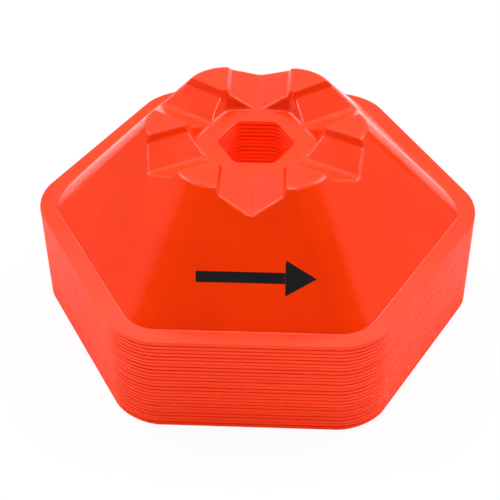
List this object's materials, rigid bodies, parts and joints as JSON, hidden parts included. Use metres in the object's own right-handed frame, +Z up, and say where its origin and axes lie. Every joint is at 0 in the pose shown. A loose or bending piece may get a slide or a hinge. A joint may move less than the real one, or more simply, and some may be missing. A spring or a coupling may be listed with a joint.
{
  "type": "nested stack of sports marker cones",
  "caption": "Nested stack of low six-sided saucer cones with flat flanges, sunk crowns and a hexagonal centre hole; each cone lifts off the one below.",
  "frame": {"origin": "centre of the stack's footprint, on the ground under the lowest flange", "axes": "+Z up along the stack's axis and the way a cone lifts; +Y and -Y square to two flats of the flange, with the front at -Y; +X and -X through two opposite corners"},
  "size_m": [0.2002, 0.18, 0.0963],
  "materials": {
    "cone_plastic": "satin to gloss moulded soft polyethylene, fluorescent orange-red, slightly translucent"
  },
  "bodies": {
    "cone_01": {"cone_01": "cone_plastic"},
    "cone_02": {"cone_02": "cone_plastic"},
    "cone_03": {"cone_03": "cone_plastic"},
    "cone_04": {"cone_04": "cone_plastic"},
    "cone_05": {"cone_05": "cone_plastic"},
    "cone_06": {"cone_06": "cone_plastic"},
    "cone_07": {"cone_07": "cone_plastic"},
    "cone_08": {"cone_08": "cone_plastic"},
    "cone_09": {"cone_09": "cone_plastic"},
    "cone_10": {"cone_10": "cone_plastic"},
    "cone_11": {"cone_11": "cone_plastic"},
    "cone_12": {"cone_12": "cone_plastic"},
    "cone_13": {"cone_13": "cone_plastic"},
    "cone_14": {"cone_14": "cone_plastic"},
    "cone_15": {"cone_15": "cone_plastic"},
    "cone_16": {"cone_16": "cone_plastic"},
    "cone_17": {"cone_17": "cone_plastic"},
    "cone_18": {"cone_18": "cone_plastic"},
    "cone_19": {"cone_19": "cone_plastic"},
    "cone_20": {"cone_20": "cone_plastic"},
    "cone_21": {"cone_21": "cone_plastic"},
    "cone_22": {"cone_22": "cone_plastic"},
    "cone_23": {"cone_23": "cone_plastic"},
    "cone_24": {"cone_24": "cone_plastic"},
    "cone_25": {"cone_25": "cone_plastic"}
  },
  "joints": [
    {"name": "cone_02_lift", "type": "slide", "parent": "cone_01", "child": "cone_02", "axis": [0, 0, 1], "range_m": [0, 0.05]},
    {"name": "cone_03_lift", "type": "slide", "parent": "cone_02", "child": "cone_03", "axis": [0, 0, 1], "range_m": [0, 0.05]},
    {"name": "cone_04_lift", "type": "slide", "parent": "cone_03", "child": "cone_04", "axis": [0, 0, 1], "range_m": [0, 0.05]},
    {"name": "cone_05_lift", "type": "slide", "parent": "cone_04", "child": "cone_05", "axis": [0, 0, 1], "range_m": [0, 0.05]},
    {"name": "cone_06_lift", "type": "slide", "parent": "cone_05", "child": "cone_06", "axis": [0, 0, 1], "range_m": [0, 0.05]},
    {"name": "cone_07_lift", "type": "slide", "parent": "cone_06", "child": "cone_07", "axis": [0, 0, 1], "range_m": [0, 0.05]},
    {"name": "cone_08_lift", "type": "slide", "parent": "cone_07", "child": "cone_08", "axis": [0, 0, 1], "range_m": [0, 0.05]},
    {"name": "cone_09_lift", "type": "slide", "parent": "cone_08", "child": "cone_09", "axis": [0, 0, 1], "range_m": [0, 0.05]},
    {"name": "cone_10_lift", "type": "slide", "parent": "cone_09", "child": "cone_10", "axis": [0, 0, 1], "range_m": [0, 0.05]},
    {"name": "cone_11_lift", "type": "slide", "parent": "cone_10", "child": "cone_11", "axis": [0, 0, 1], "range_m": [0, 0.05]},
    {"name": "cone_12_lift", "type": "slide", "parent": "cone_11", "child": "cone_12", "axis": [0, 0, 1], "range_m": [0, 0.05]},
    {"name": "cone_13_lift", "type": "slide", "parent": "cone_12", "child": "cone_13", "axis": [0, 0, 1], "range_m": [0, 0.05]},
    {"name": "cone_14_lift", "type": "slide", "parent": "cone_13", "child": "cone_14", "axis": [0, 0, 1], "range_m": [0, 0.05]},
    {"name": "cone_15_lift", "type": "slide", "parent": "cone_14", "child": "cone_15", "axis": [0, 0, 1], "range_m": [0, 0.05]},
    {"name": "cone_16_lift", "type": "slide", "parent": "cone_15", "child": "cone_16", "axis": [0, 0, 1], "range_m": [0, 0.05]},
    {"name": "cone_17_lift", "type": "slide", "parent": "cone_16", "child": "cone_17", "axis": [0, 0, 1], "range_m": [0, 0.05]},
    {"name": "cone_18_lift", "type": "slide", "parent": "cone_17", "child": "cone_18", "axis": [0, 0, 1], "range_m": [0, 0.05]},
    {"name": "cone_19_lift", "type": "slide", "parent": "cone_18", "child": "cone_19", "axis": [0, 0, 1], "range_m": [0, 0.05]},
    {"name": "cone_20_lift", "type": "slide", "parent": "cone_19", "child": "cone_20", "axis": [0, 0, 1], "range_m": [0, 0.05]},
    {"name": "cone_21_lift", "type": "slide", "parent": "cone_20", "child": "cone_21", "axis": [0, 0, 1], "range_m": [0, 0.05]},
    {"name": "cone_22_lift", "type": "slide", "parent": "cone_21", "child": "cone_22", "axis": [0, 0, 1], "range_m": [0, 0.05]},
    {"name": "cone_23_lift", "type": "slide", "parent": "cone_22", "child": "cone_23", "axis": [0, 0, 1], "range_m": [0, 0.05]},
    {"name": "cone_24_lift", "type": "slide", "parent": "cone_23", "child": "cone_24", "axis": [0, 0, 1], "range_m": [0, 0.05]},
    {"name": "cone_25_lift", "type": "slide", "parent": "cone_24", "child": "cone_25", "axis": [0, 0, 1], "range_m": [0, 0.05]}
  ]
}
